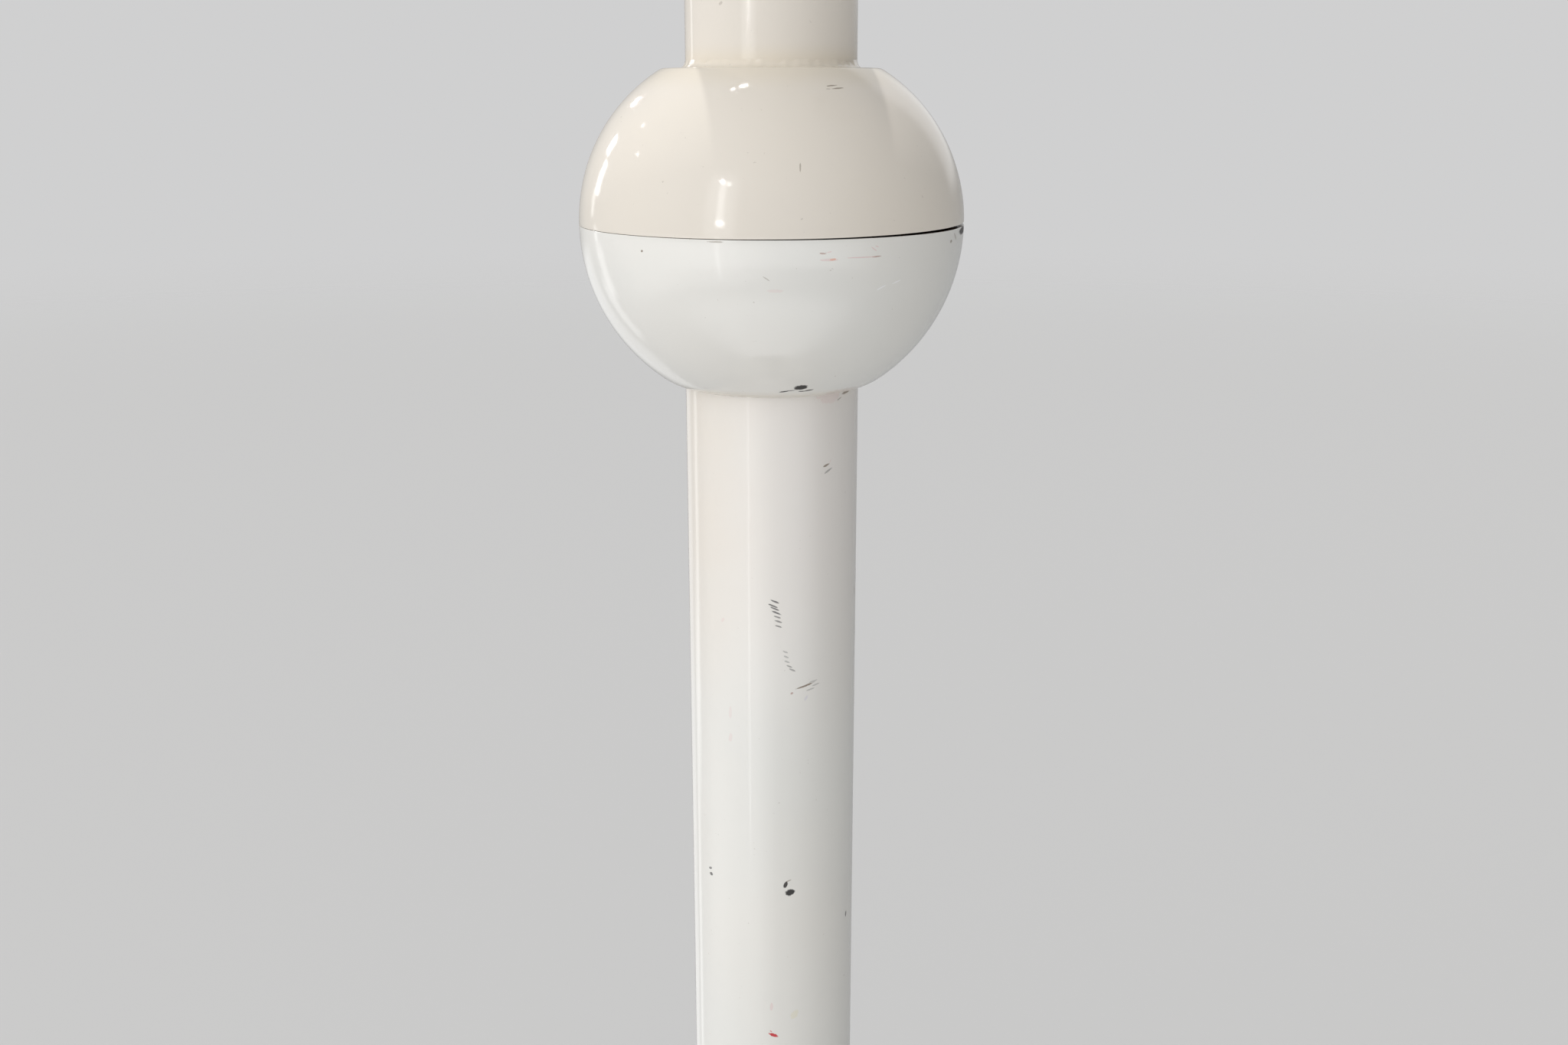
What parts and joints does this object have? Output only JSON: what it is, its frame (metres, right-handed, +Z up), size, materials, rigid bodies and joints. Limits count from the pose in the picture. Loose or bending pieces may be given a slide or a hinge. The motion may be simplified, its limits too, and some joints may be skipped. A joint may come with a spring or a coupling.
{
  "type": "adjustable floor lamp",
  "caption": "Floor lamp on a thick lacquered stem with a split-ball swivel, a bent arm above it and a domed shade that turns on the arm's end.",
  "frame": {"origin": "centre of the base's underside, on the floor", "axes": "+Z up along the stem, +X along the arm towards the shade, -Y towards the foot switch"},
  "size_m": [0.6369, 0.3049, 1.44],
  "materials": {
    "cream_lacquer": "glossy baked enamel, aged to cream, with a few scuffs",
    "cool_white_lacquer": "glossy baked enamel, off-white, chipped and scratched",
    "felt": "dark felt",
    "cast_iron": "rough casting, sealed",
    "zinc_steel": "zinc-plated steel",
    "bare_steel": "turned steel, lightly oiled",
    "black_steel": "blackened steel",
    "chrome": "chrome-plated, polished",
    "dark_plastic": "dark moulded plastic",
    "bakelite": "dark brown moulded plastic",
    "bronze": "sintered bronze",
    "brass": "rolled brass",
    "fibre": "pressed fibre",
    "nylon": "turned nylon",
    "lead_sheath": "white flexible sheath",
    "cap_aluminium": "rolled aluminium",
    "opal_glass": "opal glass"
  },
  "bodies": {
    "stand": {"base_felt": "felt", "base_weight": "cast_iron", "base_cover": "cool_white_lacquer", "stem_flange": "zinc_steel", "base_bolts": "zinc_steel", "base_washers": "zinc_steel", "base_collar": "cool_white_lacquer", "stem_screws": "black_steel", "cord_gland": "dark_plastic", "gland_nut": "dark_plastic", "switch_body": "dark_plastic", "switch_bezel": "chrome", "lower_stem": "cool_white_lacquer", "lower_shell": "cool_white_lacquer", "lower_plate": "zinc_steel", "stop_block": "bare_steel", "bearing_bush": "bronze", "friction_disc": "fibre", "lower_washer": "fibre", "stem_lead": "lead_sheath"},
    "button": {"push_button": "dark_plastic"},
    "arm": {"upper_shell": "cream_lacquer", "upper_plate": "zinc_steel", "stop_pin": "bare_steel", "pivot_spindle": "bare_steel", "spindle_dowel": "bare_steel", "pressure_washer": "zinc_steel", "disc_springs": "zinc_steel", "lock_nuts": "zinc_steel", "arm_tube": "cream_lacquer", "arm_plug": "zinc_steel", "plug_screws": "black_steel", "head_bush": "bronze", "head_disc": "nylon", "head_washer": "nylon", "arm_lead": "lead_sheath"},
    "head": {"head_hub": "cream_lacquer", "head_spindle": "bare_steel", "head_stop_pin": "bare_steel", "head_pressure_washer": "zinc_steel", "head_springs": "zinc_steel", "head_nuts": "zinc_steel", "shade": "cream_lacquer", "saddle_washer": "zinc_steel", "hub_nut": "zinc_steel", "holder_cap": "bakelite", "holder_body": "bakelite", "holder_thread": "brass", "holder_contact": "brass", "holder_ring": "bakelite", "bulb_cap": "cap_aluminium", "bulb_glass": "opal_glass", "head_lead": "lead_sheath"}
  },
  "joints": [
    {"name": "ball_swivel", "type": "hinge", "parent": "stand", "child": "arm", "pos_m": [0, 0, 0.64], "axis": [0, 0, 1], "range_deg": [-165, 165]},
    {"name": "head_turn", "type": "hinge", "parent": "arm", "child": "head", "pos_m": [0.17, 0, 1.29], "axis": [1, 0, 0], "range_deg": [-120, 120]},
    {"name": "button_press", "type": "slide", "parent": "stand", "child": "button", "axis": [0, 0, -1], "range_m": [0, 0.0035], "stiffness_N_per_m": 3000, "springref_m": -0.003}
  ]
}
